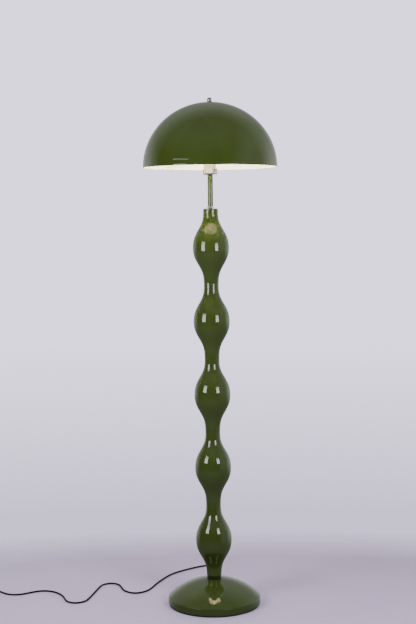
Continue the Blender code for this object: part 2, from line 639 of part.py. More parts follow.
def make_switch():
    """Foot switch: two shells, the contacts, the button and two screws."""
    half_y = 0.022
    corner = 0.012
    wall = 0.0018
    split = 0.0090
    top = 0.0195
    base = place_on_switch(tray("switch_base", SWITCH_HALF, half_y, corner, wall, split - GAP, 0.0003, BLACK))
    cover = place_on_switch(tray("switch_cover", SWITCH_HALF, half_y, corner, wall, split, top, BLACK))
    screw_x = 0.0245
    head_r = 0.0027
    shank_r = 0.0013
    boss_low = 0.0095
    boss_high = top - wall / 2
    for name, side in (("switch_screw_left", -1), ("switch_screw_right", 1)):
        x = SWITCH_CENTRE.x + side * screw_x
        y = SWITCH_CENTRE.y
        hole(base, (x, y, 0.0010), head_r + GAP, 0.006, steps=HEX)
        boss = cylinder(name + "_boss", 0.0030, boss_high - boss_low, BLACK, HEX)
        boss.location = (x, y, (boss_low + boss_high) / 2)
        combine(cover, boss, "UNION")
        hole(cover, (x, y, 0.0110), shank_r + GAP, 0.0090, steps=HEX)
        screw(name, (x, y), 0.0020, 0.0150, head_r, 0.0014, shank_r, ZINC)
    hole_r = 0.0135
    hole(cover, (SWITCH_CENTRE.x, SWITCH_CENTRE.y, top), hole_r, 0.008, steps=24)
    under = top - wall - GAP
    button_r = hole_r - 0.0005
    place_on_switch(turned_solid("switch_button", [
        (0, 0.0120), (0.0040, 0.0120), (0.0040, under - 0.0016), (hole_r + 0.0015, under - 0.0016),
        (hole_r + 0.0015, under), (button_r, under), (button_r, 0.0222), (button_r - 0.0020, 0.0232),
        (0, 0.0236)], BLACK, 24))
    contacts = place_on_switch(brick("switch_contacts", (0.022, 0.016, 0.0060), WHITE))
    contacts.location.z = 0.0054


def make_plug():
    """Flat two-pin plug."""
    body = loft("plug_body", [(0, 0.0046, 0.0044, 0.0040), (0.009, 0.0085, 0.0062, 0.0045),
                              (0.019, 0.0128, 0.0070, 0.0045), (PLUG_LENGTH, 0.0128, 0.0070, 0.0045)], BLACK)
    body.location = PLUG_BACK
    pin_r = 0.0020
    pin_length = 0.019
    half_spacing = 0.0093
    for name, side in (("plug_pin_left", 1), ("plug_pin_right", -1)):
        pin = cylinder(name, pin_r, pin_length, CHROME, HEX)
        pin.rotation_euler = (0, math.radians(90), 0)
        pin.location = PLUG_BACK + Vector((PLUG_LENGTH + GAP + pin_length / 2, side * half_spacing, 0))


make_base()
make_column()
make_stem()
make_lampholder()
make_bulb()
make_harp()
make_shade()
make_cord()
make_switch()
make_plug()
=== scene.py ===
"""Looks of the floor lamp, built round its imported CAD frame.

Metres, +Z up, the front faces -Y, and the lamp's axis is the Z axis.
"""
import math

import bmesh
import bpy
import numpy as np
from mathutils import Matrix, Vector


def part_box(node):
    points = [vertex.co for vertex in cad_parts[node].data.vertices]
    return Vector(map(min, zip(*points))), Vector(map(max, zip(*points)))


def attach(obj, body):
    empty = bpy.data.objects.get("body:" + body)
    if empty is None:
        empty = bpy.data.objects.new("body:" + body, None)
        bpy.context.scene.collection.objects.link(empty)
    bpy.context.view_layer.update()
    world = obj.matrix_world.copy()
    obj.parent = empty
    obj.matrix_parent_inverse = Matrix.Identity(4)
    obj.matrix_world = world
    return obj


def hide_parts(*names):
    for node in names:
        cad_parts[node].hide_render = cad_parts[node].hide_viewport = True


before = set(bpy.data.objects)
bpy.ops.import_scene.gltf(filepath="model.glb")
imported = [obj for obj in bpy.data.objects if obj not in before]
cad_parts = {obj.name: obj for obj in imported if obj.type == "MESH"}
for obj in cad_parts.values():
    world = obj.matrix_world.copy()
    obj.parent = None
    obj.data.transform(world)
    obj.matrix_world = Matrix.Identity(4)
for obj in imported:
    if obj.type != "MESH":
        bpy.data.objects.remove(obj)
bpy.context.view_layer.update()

TAU = 2 * math.pi
GAP = 0.0003            # clearance between pieces that touch, as in the CAD
BORE_R = 0.0053         # bore of what sits on the tie tube or the nipple
SHARP = math.radians(35)


# ---------------------------------------------------------------- camera
CAMERA_AT = (-0.0107, -3.5686, 1.1695)
CAMERA_LENS = 68.78     # mm, on a sensor 36 mm high
CAMERA_PITCH = 90 - 4.437
CAMERA_ROLL = -0.600


def make_camera():
    """The camera, looking slightly down at the lamp with a trace of roll."""
    data = bpy.data.cameras.new("camera")
    data.sensor_width = 36
    data.lens = CAMERA_LENS
    camera = bpy.data.objects.new("camera", data)
    pitch = Matrix.Rotation(math.radians(CAMERA_PITCH), 4, "X")
    roll = Matrix.Rotation(math.radians(CAMERA_ROLL), 4, "Z")
    camera.matrix_world = Matrix.Translation(CAMERA_AT) @ pitch @ roll
    bpy.context.scene.collection.objects.link(camera)
    bpy.context.scene.camera = camera


# ---------------------------------------------------------------- materials
class Nodes:
    """A small builder of node trees."""

    def __init__(self, tree):
        self.tree = tree

    def add(self, kind, links=(), **values):
        """Adds a node. links are (input, socket) pairs and values are attributes."""
        node = self.tree.nodes.new(kind)
        for key, value in values.items():
            setattr(node, key, value)
        for key, value in links:
            if isinstance(value, bpy.types.NodeSocket):
                self.tree.links.new(value, node.inputs[key])
            else:
                node.inputs[key].default_value = value
        return node

    def noise(self, size, detail=3.0):
        """Noise in object space with features of the given size in metres."""
        place = self.add("ShaderNodeTexCoord").outputs["Object"]
        scale = (1 / size, 1 / size, 1 / size)
        mapped = self.add("ShaderNodeMapping", [("Vector", place), ("Scale", scale)]).outputs["Vector"]
        noise = self.add("ShaderNodeTexNoise", [("Vector", mapped), ("Scale", 1.0), ("Detail", detail)])
        return noise.outputs["Fac"]

    def ramp(self, value, low, high, to_low, to_high):
        """Maps a value from one range to another."""
        return self.add("ShaderNodeMapRange", [("Value", value), ("From Min", low), ("From Max", high),
                                               ("To Min", to_low), ("To Max", to_high)]).outputs["Result"]

    def combine(self, operation, first, second):
        """One value from two, as operation says."""
        return self.add("ShaderNodeMath", [(0, first), (1, second)], operation=operation).outputs["Value"]

    def between(self, amount, first, second):
        """Mixes two values."""
        return self.add("ShaderNodeMix", [("Factor", amount), (2, first), (3, second)]).outputs[0]

    def blend(self, amount, first, second):
        """Mixes two colours."""
        mix = self.add("ShaderNodeMix", [("Factor", amount)], data_type="RGBA")
        for index, colour in ((6, first), (7, second)):
            if isinstance(colour, bpy.types.NodeSocket):
                self.tree.links.new(colour, mix.inputs[index])
            else:
                mix.inputs[index].default_value = (*colour, 1)
        return mix.outputs[2]


def surface(name, low, high, patch, rough, grain, depth, metallic=0.0, coat=0.0, speck=None, **sockets):
    """A Principled material. Colour drifts from low to high, and roughness over rough, in patches of the
    given size. The grain has its own size and depth. speck is (colour, size, share) for small marks."""
    made = bpy.data.materials.new(name)
    made.use_nodes = True
    nodes = Nodes(made.node_tree)
    shader = made.node_tree.nodes["Principled BSDF"]
    drift = nodes.noise(patch)
    colour = nodes.blend(nodes.ramp(drift, 0.35, 0.65, 0, 1), low, high)
    if speck:
        mark, size, share = speck
        spots = nodes.ramp(nodes.noise(size, detail=1.0), 1 - share, 1 - share + 0.04, 0, 1)
        colour = nodes.blend(spots, colour, mark)
    made.node_tree.links.new(colour, shader.inputs["Base Color"])
    worn = nodes.noise(patch * 0.37)
    made.node_tree.links.new(nodes.ramp(worn, 0.3, 0.7, *rough), shader.inputs["Roughness"])
    bump = nodes.add("ShaderNodeBump", [("Height", nodes.noise(grain)), ("Distance", depth)])
    made.node_tree.links.new(bump.outputs["Normal"], shader.inputs["Normal"])
    shader.inputs["Metallic"].default_value = metallic
    shader.inputs["Coat Weight"].default_value = coat
    for key, value in sockets.items():
        shader.inputs[key.replace("_", " ")].default_value = value
    return made


GREEN = surface("gloss_green_paint", (0.048, 0.069, 0.013), (0.052, 0.075, 0.016), 0.09, (0.22, 0.28), 0.0060,
                0.000002, coat=0.55, Coat_Roughness=0.02, Coat_IOR=1.75, Specular_IOR_Level=0.0)
COLLAR = surface("dark_green_collar", (0.018, 0.026, 0.005), (0.023, 0.032, 0.007), 0.02, (0.30, 0.40),
                 0.0015, 0.00001, Specular_IOR_Level=0.2)
ENAMEL = surface("white_enamel", (0.92, 0.89, 0.83), (0.94, 0.92, 0.87), 0.06, (0.30, 0.38), 0.003, 0.000006)
CHROME = surface("bright_chrome", (0.46, 0.46, 0.48), (0.54, 0.54, 0.55), 0.012, (0.10, 0.20), 0.002,
                 0.000002, metallic=1.0)
NICKEL = surface("dark_nickel", (0.17, 0.17, 0.19), (0.23, 0.23, 0.25), 0.012, (0.16, 0.28), 0.002, 0.000003,
                 metallic=1.0)
ZINC = surface("zinc_plate", (0.44, 0.44, 0.43), (0.56, 0.56, 0.52), 0.006, (0.28, 0.45), 0.0008, 0.000008,
               metallic=1.0)
IRON = surface("cast_iron", (0.045, 0.043, 0.042), (0.085, 0.080, 0.076), 0.02, (0.65, 0.85), 0.0022, 0.00015,
               metallic=0.6, speck=((0.10, 0.045, 0.02), 0.008, 0.32))
BRASS = surface("brass", (0.55, 0.36, 0.11), (0.68, 0.48, 0.17), 0.007, (0.20, 0.36), 0.0009, 0.000006,
                metallic=1.0)
CREAM = surface("cream_plastic", (0.50, 0.45, 0.33), (0.56, 0.51, 0.39), 0.02, (0.28, 0.38), 0.0011, 0.000010)
WHITE = surface("white_plastic", (0.74, 0.74, 0.71), (0.80, 0.80, 0.78), 0.02, (0.35, 0.45), 0.0009, 0.000010)
BLACK = surface("black_plastic", (0.012, 0.012, 0.013), (0.020, 0.020, 0.021), 0.02, (0.36, 0.50), 0.0007,
                0.000020)
SHEATH = surface("black_cord_sheath", (0.006, 0.006, 0.007), (0.012, 0.011, 0.011), 0.05, (0.58, 0.72),
                 0.0009, 0.000025, Specular_IOR_Level=0.12)
PAD = surface("black_foam_pad", (0.008, 0.008, 0.008), (0.016, 0.016, 0.016), 0.02, (0.80, 0.95), 0.0006,
              0.00010)
OPAL = surface("opal_diffuser", (0.86, 0.83, 0.76), (0.88, 0.86, 0.80), 0.03, (0.40, 0.48), 0.001,
               0.000006, Emission_Color=(1.0, 0.82, 0.52, 1), Emission_Strength=7.0)


def weave():
    """The hook-and-loop tie: a fine ribbed fabric."""
    made = surface("woven_tie", (0.012, 0.012, 0.013), (0.026, 0.026, 0.028), 0.004, (0.75, 0.90), 0.0005,
                   0.00005)
    nodes = Nodes(made.node_tree)
    place = nodes.add("ShaderNodeTexCoord").outputs["Object"]
    ribs = nodes.add("ShaderNodeTexWave", [("Vector", place), ("Scale", 300.0), ("Distortion", 0.6)],
                     bands_direction="Y")
    bump = nodes.add("ShaderNodeBump", [("Height", ribs.outputs["Fac"]), ("Distance", 0.00012)])
    shader = made.node_tree.nodes["Principled BSDF"]
    made.node_tree.links.new(bump.outputs["Normal"], shader.inputs["Normal"])
    return made


TIE = weave()


# ---------------------------------------------------------------- shape functions
def add_object(name, bm, materials):
    """Turns a bmesh into an object, smooth except at sharp edges."""
    bmesh.ops.recalc_face_normals(bm, faces=bm.faces[:])
    mesh = bpy.data.meshes.new(name)
    bm.to_mesh(mesh)
    bm.free()
    for material in materials:
        mesh.materials.append(material)
    mesh.shade_smooth()
    mesh.set_sharp_from_angle(angle=SHARP)
    made = bpy.data.objects.new(name, mesh)
    bpy.context.scene.collection.objects.link(made)
    return made


def stitch(bm, rings, closed=False, second_from=None):
    """Joins rings of vertices with faces. A ring of one vertex is a pole. From ring second_from on, faces
    take the second material."""
    pairs = list(zip(rings, rings[1:] + rings[:1] if closed else rings[1:]))
    for number, (low, high) in enumerate(pairs):
        index = 1 if second_from is not None and number >= second_from else 0
        count = max(len(low), len(high))
        for i in range(count):
            j = (i + 1) % count
            corners = [low[i], low[j]] if len(low) > 1 else [low[0]]
            corners += [high[j], high[i]] if len(high) > 1 else [high[0]]
            bm.faces.new(corners).material_index = index


def lathe(name, outline, material, steps=48, second=None, second_from=None):
    """A piece turned about Z from an outline of (radius, height) points. An outline that starts and ends on
    the axis is open, any other is closed. From point second_from on, the second material is used."""
    bm = bmesh.new()
    rings = []
    for radius, z in outline:
        ring = []
        for i in range(steps if radius > 0 else 1):
            angle = TAU * i / steps
            ring.append(bm.verts.new((radius * math.cos(angle), radius * math.sin(angle), z)))
        rings.append(ring)
    stitch(bm, rings, outline[0][0] > 0 or outline[-1][0] > 0, second_from)
    return add_object(name, bm, [material, second] if second else [material])


def fillet(corner, before, after, radius, steps=4):
    """Points that round one corner of an outline."""
    corner, before, after = Vector(corner), Vector(before), Vector(after)
    inward = (before - corner).normalized()
    onward = (after - corner).normalized()
    half = inward.angle(onward) / 2
    reach = radius / math.tan(half)
    centre = corner + (inward + onward).normalized() * radius / math.sin(half)
    first = corner + inward * reach - centre
    last = corner + onward * reach - centre
    sweep = math.atan2(first.cross(last), first.dot(last))
    points = []
    for i in range(steps + 1):
        turned = Matrix.Rotation(sweep * i / steps, 2) @ first
        points.append(tuple(centre + turned))
    return points


def rounded(outline, radius=0, closed=True):
    """Rounds every corner of an outline. Each point may have its own radius as a third number."""
    points = []
    count = len(outline)
    for i, corner in enumerate(outline):
        size = corner[2] if len(corner) > 2 else radius
        end = not closed and i in (0, count - 1)
        if end or not size:
            points.append(corner[:2])
        else:
            points += fillet(corner[:2], outline[i - 1][:2], outline[(i + 1) % count][:2], size)
    return points


def outline_ring(half_x, half_y, corner):
    """Points round a rectangle with round corners, at even angles."""
    points = []
    count = 64
    for i in range(count):
        angle = TAU * (i + 0.5) / count
        direction = Vector((math.cos(angle), math.sin(angle)))
        reach = min(half_x / max(abs(direction.x), 1e-9), half_y / max(abs(direction.y), 1e-9))
        inner = Vector((half_x - corner, half_y - corner))
        at = direction * reach
        if abs(at.x) > inner.x and abs(at.y) > inner.y:
            centre = Vector((math.copysign(inner.x, at.x), math.copysign(inner.y, at.y)))
            along = direction.dot(centre)
            reach = along + math.sqrt(along ** 2 - centre.length_squared + corner ** 2)
            at = direction * reach
        points.append(tuple(at))
    return points


def slab(name, sections, material, closed=False, capped=True, turn=None):
    """A piece through sections of (half_x, half_y, corner, z). turn maps (x, y, z) to the piece's axes."""
    bm = bmesh.new()
    rings = []
    for half_x, half_y, corner, z in sections:
        ring = []
        for x, y in outline_ring(half_x, half_y, corner):
            ring.append(bm.verts.new(turn(x, y, z) if turn else (x, y, z)))
        rings.append(ring)
    stitch(bm, rings, closed)
    if capped:
        bm.faces.new(rings[0])
        bm.faces.new(rings[-1])
    return add_object(name, bm, [material])


def natural_tangents(points):
    """Slopes of the natural cubic spline through the points, and the gaps between them."""
    gaps = np.linalg.norm(np.diff(points, axis=0), axis=1)
    count = len(points)
    matrix = np.zeros((count, count))
    right = np.zeros_like(points)
    steps = np.diff(points, axis=0) / gaps[:, None]
    matrix[0, :2] = 2, 1
    right[0] = 3 * steps[0]
    matrix[-1, -2:] = 1, 2
    right[-1] = 3 * steps[-1]
    for i in range(1, count - 1):
        matrix[i, i - 1:i + 2] = gaps[i], 2 * (gaps[i - 1] + gaps[i]), gaps[i - 1]
        right[i] = 3 * (gaps[i] * steps[i - 1] + gaps[i - 1] * steps[i])
    return np.linalg.solve(matrix, right), gaps


def smooth_tube(name, route, radius, material, lowest=None):
    """A round tube on the smooth curve through the route. Its centreline stays above lowest."""
    points = np.array([tuple(p) for p in route], float)
    tangents, gaps = natural_tangents(points)
    curve = bpy.data.curves.new(name, "CURVE")
    curve.dimensions = "3D"
    curve.bevel_depth = radius
    curve.bevel_resolution = 6
    curve.resolution_u = 10
    curve.use_fill_caps = True
    spline = curve.splines.new("BEZIER")
    spline.bezier_points.add(len(points) - 1)
    for i, knot in enumerate(spline.bezier_points):
        knot.handle_left_type = "FREE"
        knot.handle_right_type = "FREE"
        before = gaps[max(i - 1, 0)] / 3
        after = gaps[min(i, len(gaps) - 1)] / 3
        places = np.array([points[i] - tangents[i] * before, points[i], points[i] + tangents[i] * after])
        if lowest is not None:
            places[:, 2] = np.maximum(places[:, 2], lowest)
        knot.handle_left, knot.co, knot.handle_right = (Vector(p) for p in places)
    curve.materials.append(material)
    made = bpy.data.objects.new(name, curve)
    bpy.context.scene.collection.objects.link(made)
    return made


def nut(name, flats, low, high, material):
    """A hexagon nut with its corners chamfered at 30 degrees and a countersunk bore."""
    steps = 72
    sink = 0.0004
    bm = bmesh.new()
    start = flats / 2 * 1.02
    rings = []
    for radius, z, side in ((BORE_R + sink, low, 0), (start, low, 0), (None, low, 1), (None, high, -1),
                            (start, high, 0), (BORE_R + sink, high, 0), (BORE_R, high - sink, 0),
                            (BORE_R, low + sink, 0)):
        ring = []
        for i in range(steps):
            angle = TAU * i / steps
            reach = flats / 2 / math.cos(angle % math.radians(60) - math.radians(30))
            drop = max(0, reach - start) * math.tan(math.radians(30))
            wide = min(start, reach) if radius == start else radius or reach
            ring.append(bm.verts.new((wide * math.cos(angle), wide * math.sin(angle), z + side * drop)))
        rings.append(ring)
    stitch(bm, rings, True)
    return add_object(name, bm, [material])


def place(piece, body, slot, *nodes):
    """Says what a piece moves with and which CAD nodes it stands for. The slot argument, the finish it would
    take, is not used.
    """
    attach(piece, body)
    if nodes:
        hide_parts(*nodes)
    return piece


def span(node):
    """(largest X, lowest height, highest height) of a CAD node. On the lamp's axis that X is its radius."""
    low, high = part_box(node)
    return high.x, low.z, high.z


def arc(radius_x, radius_z, centre_z, first, last, steps):
    """Points on an ellipse about the axis, between two angles from the top."""
    angles = [first + (last - first) * i / steps for i in range(steps + 1)]
    return [(radius_x * math.sin(a), centre_z + radius_z * math.cos(a)) for a in angles]


# ---------------------------------------------------------------- cord
CORD_R = 0.00275
GLAND_Z = 0.0125
GLAND_END_Y = 0.1725
FLOOR_Z = 0.0028
COIL_CENTRE = Vector((-0.830, 0.1075))
COIL_R = 0.0325
COIL_Z = 0.0012
COIL_TURNS = 2.5
SWITCH_CENTRE = Vector((-0.747, 0.140, 0))
SWITCH_HALF = 0.033
SWITCH_CORD_Z = 0.0075
PLUG_BACK = Vector((-0.772, 0.075, 0.0072))
PLUG_LENGTH = 0.036
RUN_ROUTE = [
    (0.000, GLAND_END_Y + GAP, GLAND_Z), (0.000, 0.190, 0.0120), (0.0005, 0.222, 0.0062),
    (0.003, 0.262, FLOOR_Z), (0.009, 0.305, FLOOR_Z), (0.017, 0.338, FLOOR_Z), (0.017, 0.366, FLOOR_Z),
    (-0.002, 0.386, FLOOR_Z), (-0.030, 0.3825, FLOOR_Z), (-0.087, 0.345, FLOOR_Z), (-0.137, 0.294, FLOOR_Z),
    (-0.169, 0.232, FLOOR_Z), (-0.192, 0.168, FLOOR_Z), (-0.214, 0.1155, FLOOR_Z), (-0.248, 0.0945, FLOOR_Z),
    (-0.281, 0.117, FLOOR_Z), (-0.298, 0.163, FLOOR_Z), (-0.3095, 0.1865, FLOOR_Z), (-0.332, 0.1975, FLOOR_Z),
    (-0.3545, 0.186, FLOOR_Z), (-0.367, 0.153, FLOOR_Z), (-0.382, 0.078, FLOOR_Z), (-0.389, 0.045, FLOOR_Z),
    (-0.402, 0.015, FLOOR_Z), (-0.427, 0.0042, FLOOR_Z), (-0.4515, 0.0175, FLOOR_Z), (-0.465, 0.050, FLOOR_Z),
    (-0.485, 0.093, FLOOR_Z), (-0.512, 0.119, FLOOR_Z), (-0.545, 0.126, FLOOR_Z), (-0.577, 0.112, FLOOR_Z),
    (-0.603, 0.096, FLOOR_Z), (-0.630, 0.091, FLOOR_Z), (-0.654, 0.101, FLOOR_Z), (-0.672, 0.118, FLOOR_Z),
    (-0.684, 0.130, 0.0030), (-0.696, 0.1377, 0.0054), (-0.707, 0.1400, 0.0072),
    (SWITCH_CENTRE.x + SWITCH_HALF + GAP, SWITCH_CENTRE.y, SWITCH_CORD_Z),
]


def coil_route():
    """From the foot switch, round the coil and down to the plug."""
    y = SWITCH_CENTRE.y
    beside_coil = -0.8075
    route = [(SWITCH_CENTRE.x - SWITCH_HALF - GAP, y, SWITCH_CORD_Z), (-0.787, y, 0.0070),
             (-0.797, y, 0.0050), (beside_coil, y, COIL_Z + CORD_R)]
    per_turn = 16
    for i in range(round(per_turn * COIL_TURNS) + 1):
        angle = math.radians(90) + TAU * i / per_turn
        route.append((COIL_CENTRE.x + COIL_R * math.cos(angle), COIL_CENTRE.y + COIL_R * math.sin(angle),
                      COIL_Z + CORD_R * (1 + 2 * i / per_turn)))
    y = PLUG_BACK.y
    route += [(beside_coil, y, route[-1][2]), (-0.798, y, 0.0152), (-0.788, y, 0.0102),
              (-0.779, y, 0.0075), (PLUG_BACK.x - GAP, y, PLUG_BACK.z)]
    return route


def make_gland():
    """The strain relief at the back of the base: a tapered sleeve with ribs."""
    low = 0.1450
    neck = (0.0048, 0.1405)
    outline = [(0.0033, 0.1345), (0.0062, 0.1345), (0.0062, 0.1378), (neck[0], 0.1378), neck]
    outline += rounded([neck, (0.0072, neck[1]), (0.0072, 0.1437), (0.0058, low)], 0.0005, False)[1:]
    ribs = 6
    ribbed = GLAND_END_Y - 0.003 - low
    for i in range(ribs):
        start = low + ribbed * i / ribs
        for share, dip in ((0.12, 0), (0.55, 0), (0.62, 0.0007), (0.92, 0.0007)):
            y = start + ribbed / ribs * share
            taper = 0.0057 - (y - low) / (GLAND_END_Y - low) * 0.0018
            outline.append((taper - dip, y))
    outline += [(0.0039, GLAND_END_Y - 0.0025), (0.0037, GLAND_END_Y), (0.0031, GLAND_END_Y)]
    gland = lathe("strain_relief", outline, BLACK, 40)
    gland.data.transform(Matrix.Translation((0, 0, GLAND_Z)) @ Matrix.Rotation(math.radians(-90), 4, "X"))
    return place(gland, "lamp", "black_plastic", "cord_gland")


def make_switch():
    """The foot switch: two shells and a button with two ring grooves."""
    half_y = 0.022
    corner = 0.012
    wall = 0.0018
    split = 0.0090
    top = 0.0195
    move = Matrix.Translation(SWITCH_CENTRE)
    under = 0.0003
    foot = [(0.0016, under), (0.0004, 0.0008), (0, 0.0020), (0, split - GAP - 0.0006), (0.0005, split - GAP)]
    foot += [(wall, split - GAP), (wall, under + wall)]
    sections = [(SWITCH_HALF - inset, half_y - inset, corner - inset, z) for inset, z in foot]
    base = slab("switch_foot", sections, BLACK)
    base.data.transform(move)
    place(base, "lamp", "black_plastic", "switch_base")

    edge = 0.0042
    sections = [(SWITCH_HALF - wall, half_y - wall, corner - wall, split),
                (SWITCH_HALF - 0.0005, half_y - 0.0005, corner - 0.0005, split),
                (SWITCH_HALF, half_y, corner, split + 0.0006)]
    for i in range(9):
        angle = math.radians(90) * i / 8
        inset = edge * (1 - math.cos(angle))
        z = top - edge + edge * math.sin(angle)
        sections.append((SWITCH_HALF - inset, half_y - inset, corner - inset, z))
    hole = 0.0135
    for radius, z in ((hole + 0.0022, top), (hole + 0.0014, top - 0.0005), (hole + 0.0004, top - 0.0006),
                      (hole, top - 0.0010), (hole, top - wall)):
        sections.append((radius, radius, radius, z))
    for inset, z in ((wall + 0.0040, top - wall), (wall, top - wall - 0.0035)):
        sections.append((SWITCH_HALF - inset, half_y - inset, max(corner - inset, 0.004), z))
    cover = slab("switch_top", sections, BLACK, closed=True, capped=False)
    cover.data.transform(move)
    place(cover, "lamp", "black_plastic", "switch_cover")

    stop = top - wall - GAP
    stop_r = hole + 0.0015
    button_r = hole - 0.0005
    stalk = [(0, 0.0120), (0.0040, 0.0120), (0.0040, stop - 0.0016), (stop_r, stop - 0.0016), (stop_r, stop)]
    rim = [(button_r, stop), (button_r, 0.0218), (button_r - 0.0003, 0.0223), (button_r - 0.0010, 0.0227),
           (button_r - 0.0020, 0.0229)]
    grooves = [(0.0093, 0.0232), (0.0091, 0.0228), (0.0083, 0.0228), (0.0081, 0.0233), (0.0058, 0.0235),
               (0.0056, 0.0231), (0.0048, 0.0231), (0.0046, 0.0235), (0, 0.0236)]
    button = lathe("switch_press_button", stalk + rim + grooves, BLACK)
    button.data.transform(move)
    place(button, "switch_button", "black_plastic", "switch_button")
    return [base, cover, button]


def make_plug():
    """The flat two-pin plug with its grip and its two round pins."""
    sections = [(0.0040, 0.0036, 0.0034, 0.0), (0.0046, 0.0044, 0.0040, 0.0008)]
    ridges = 6
    grip = 0.0165
    for i in range(ridges):
        start = 0.0025 + grip * i / ridges
        for share, dip in ((0.0, 0.0), (0.5, 0.0), (0.6, 0.0006), (0.9, 0.0006)):
            x = start + grip / ridges * share
            part = min(1.0, x / 0.019)
            half_x = 0.0046 + 0.0082 * part ** 1.3 - dip
            half_y = 0.0044 + 0.0026 * part - dip * 0.4
            sections.append((half_x, half_y, 0.0042, x))
    for inset, x in ((0.0, 0.0195), (0.0, PLUG_LENGTH - 0.0012), (0.0004, PLUG_LENGTH - 0.0003),
                     (0.0011, PLUG_LENGTH)):
        sections.append((0.0128 - inset, 0.0070 - inset, 0.0045 - inset, x))
    body = slab("plug_moulding", sections, BLACK, turn=lambda x, y, z: (z, x, y))
    body.data.transform(Matrix.Translation(PLUG_BACK))
    place(body, "lamp", "black_plastic", "plug_body")
    made = [body]
    pin_r = 0.0020
    pin_end = 0.019
    outline = rounded([(0, 0), (pin_r, 0, 0.0001), (pin_r, pin_end, 0.0012), (0, pin_end)], closed=False)
    for name, node, side in (("pin_left", "plug_pin_left", 1), ("pin_right", "plug_pin_right", -1)):
        pin = lathe(name, outline, CHROME, 24)
        start = PLUG_BACK + Vector((PLUG_LENGTH + GAP, side * 0.0093, 0))
        pin.data.transform(Matrix.Translation(start) @ Matrix.Rotation(math.radians(90), 4, "Y"))
        made.append(place(pin, "lamp", "chrome", node))
    return made


def make_tie():
    """The band round one side of the coil."""
    low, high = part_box("cord_tie")
    centre = (low + high) / 2
    half_y = (high.x - low.x) / 2
    half_z = (high.z - low.z) / 2
    half_width = (high.y - low.y) / 2
    thick = 0.0008
    sections = []
    for inset, x in ((0, -half_width), (0, half_width), (thick, half_width), (thick, -half_width)):
        sections.append((half_y - inset, half_z - inset, 0.0022 - inset, x))
    tie = slab("coil_tie", sections, TIE, closed=True, capped=False, turn=lambda x, y, z: (x, z, y))
    tie.data.transform(Matrix.Translation(centre))
    return place(tie, "lamp", "black_plastic", "cord_tie")


def make_cords():
    """The two lengths of mains cord, with everything on them."""
    gland = make_gland()
    switch = make_switch()
    plug = make_plug()
    tie = make_tie()
    run = smooth_tube("mains_cord", RUN_ROUTE, CORD_R, SHEATH, FLOOR_Z)
    place(run, "lamp", "black_cord", "cord_run")
    rest = smooth_tube("mains_cord_coiled", coil_route(), CORD_R, SHEATH, COIL_Z + CORD_R)
    place(rest, "lamp", "black_cord", "cord_tail", "cord_coil", "cord_end")


make_camera()
make_cords()


# ---------------------------------------------------------------- base and column
BEAD_TERMS = (0.03748, 0.01708, 0.00097, -0.00106)   # radius as a cosine series up one bead
BEAD_SAG = 0.0008                                    # how much fuller it is below its middle than above
BEAD_COUNT = 5
BEAD_WALL = 0.0014
BASE_WALL = 0.0015
SPIGOT_R = 0.0200                                    # what the collar and the cap push into a bead's end


def bead_radius(share):
    """Outer radius of a bead at a share of its height."""
    angle = TAU * (share - 0.5)
    even = sum(term * math.cos(order * angle) for order, term in enumerate(BEAD_TERMS))
    return even - BEAD_SAG * math.sin(angle)


def make_base():
    """The pressed shell with its dome, band and seat, the pad under it and the ring on it."""
    radius, low, top = span("base_shell")
    rise = 0.055
    band_top = 0.024
    dome_r = (radius ** 2 + rise ** 2) / (2 * rise)
    centre = band_top + rise - dome_r
    seat = 0.0225
    first = math.asin(seat / dome_r)
    last = math.asin(radius / dome_r)
    dome = arc(dome_r, dome_r, centre, first, last, 40)
    outer = dome[:-1] + fillet(dome[-1], dome[-2], (radius, low), 0.0016, 8)
    lip_r = 0.126
    flange = rounded([(radius, band_top), (radius, low, 0.0012), (lip_r, low), (lip_r, low + BASE_WALL),
                      (radius - BASE_WALL, low + BASE_WALL)], closed=False)[1:]
    inner_r = dome_r - BASE_WALL
    inner = arc(inner_r, inner_r, centre, math.asin((radius - BASE_WALL) / inner_r), first, 12)
    crown = [(seat, top - BASE_WALL), (BORE_R, top - BASE_WALL), (BORE_R, top)]
    shell = lathe("base_dome", outer + flange + inner[:-1] + crown, GREEN, 144)
    place(shell, "lamp", "green_paint", "base_shell")

    radius, low, top = span("base_pad")
    hole_r = 0.016
    outline = rounded([(hole_r, low), (radius, low), (radius, top), (hole_r, top)], 0.0006)
    place(lathe("foot_pad", outline, PAD, 96), "lamp", "black_pad", "base_pad")

    ring_r = 0.0218
    _, low, top = span("foot_collar")
    step = top - 0.008
    outline = rounded([(BORE_R, low, 0), (ring_r, low), (ring_r, step), (SPIGOT_R, step, 0), (SPIGOT_R, top),
                       (BORE_R, top, 0)], 0.0004)
    place(lathe("foot_ring", outline, COLLAR, 64), "lamp", "dark_collar", "foot_collar")


def make_column():
    """Five gourd beads, each with softened ends, and the cap and nut on top."""
    for number in range(1, BEAD_COUNT + 1):
        node = "column_bead_%d" % number
        _, low, high = span(node)
        tall = high - low
        rows = 56
        outer = [(bead_radius(i / rows), low + i / rows * tall) for i in range(rows + 1)]
        soft = 0.00015
        first = outer[0][0]
        last = outer[-1][0]
        outer = [(first - soft, low), (first, low + soft), *outer[1:-1], (last, high - soft),
                 (last - soft, high)]
        rows = 16
        inner = [(bead_radius(i / rows) - BEAD_WALL, low + i / rows * tall) for i in range(rows, -1, -1)]
        bead = lathe("bead_%d" % number, outer + inner, GREEN, 96)
        place(bead, "lamp", "green_paint", node)
    radius, low, high = span("column_cap")
    step = low + 0.006 + GAP
    outline = rounded([(BORE_R, high, 0.0002), (radius, high), (radius, step), (SPIGOT_R, step, 0),
                       (SPIGOT_R, low), (BORE_R, low, 0)], 0.0005)
    place(lathe("column_lid", outline, GREEN, 96), "lamp", "green_paint", "column_cap")
    _, low, high = span("column_nut")
    place(nut("column_hex_nut", 0.017, low, high, ZINC), "lamp", "chrome", "column_nut")


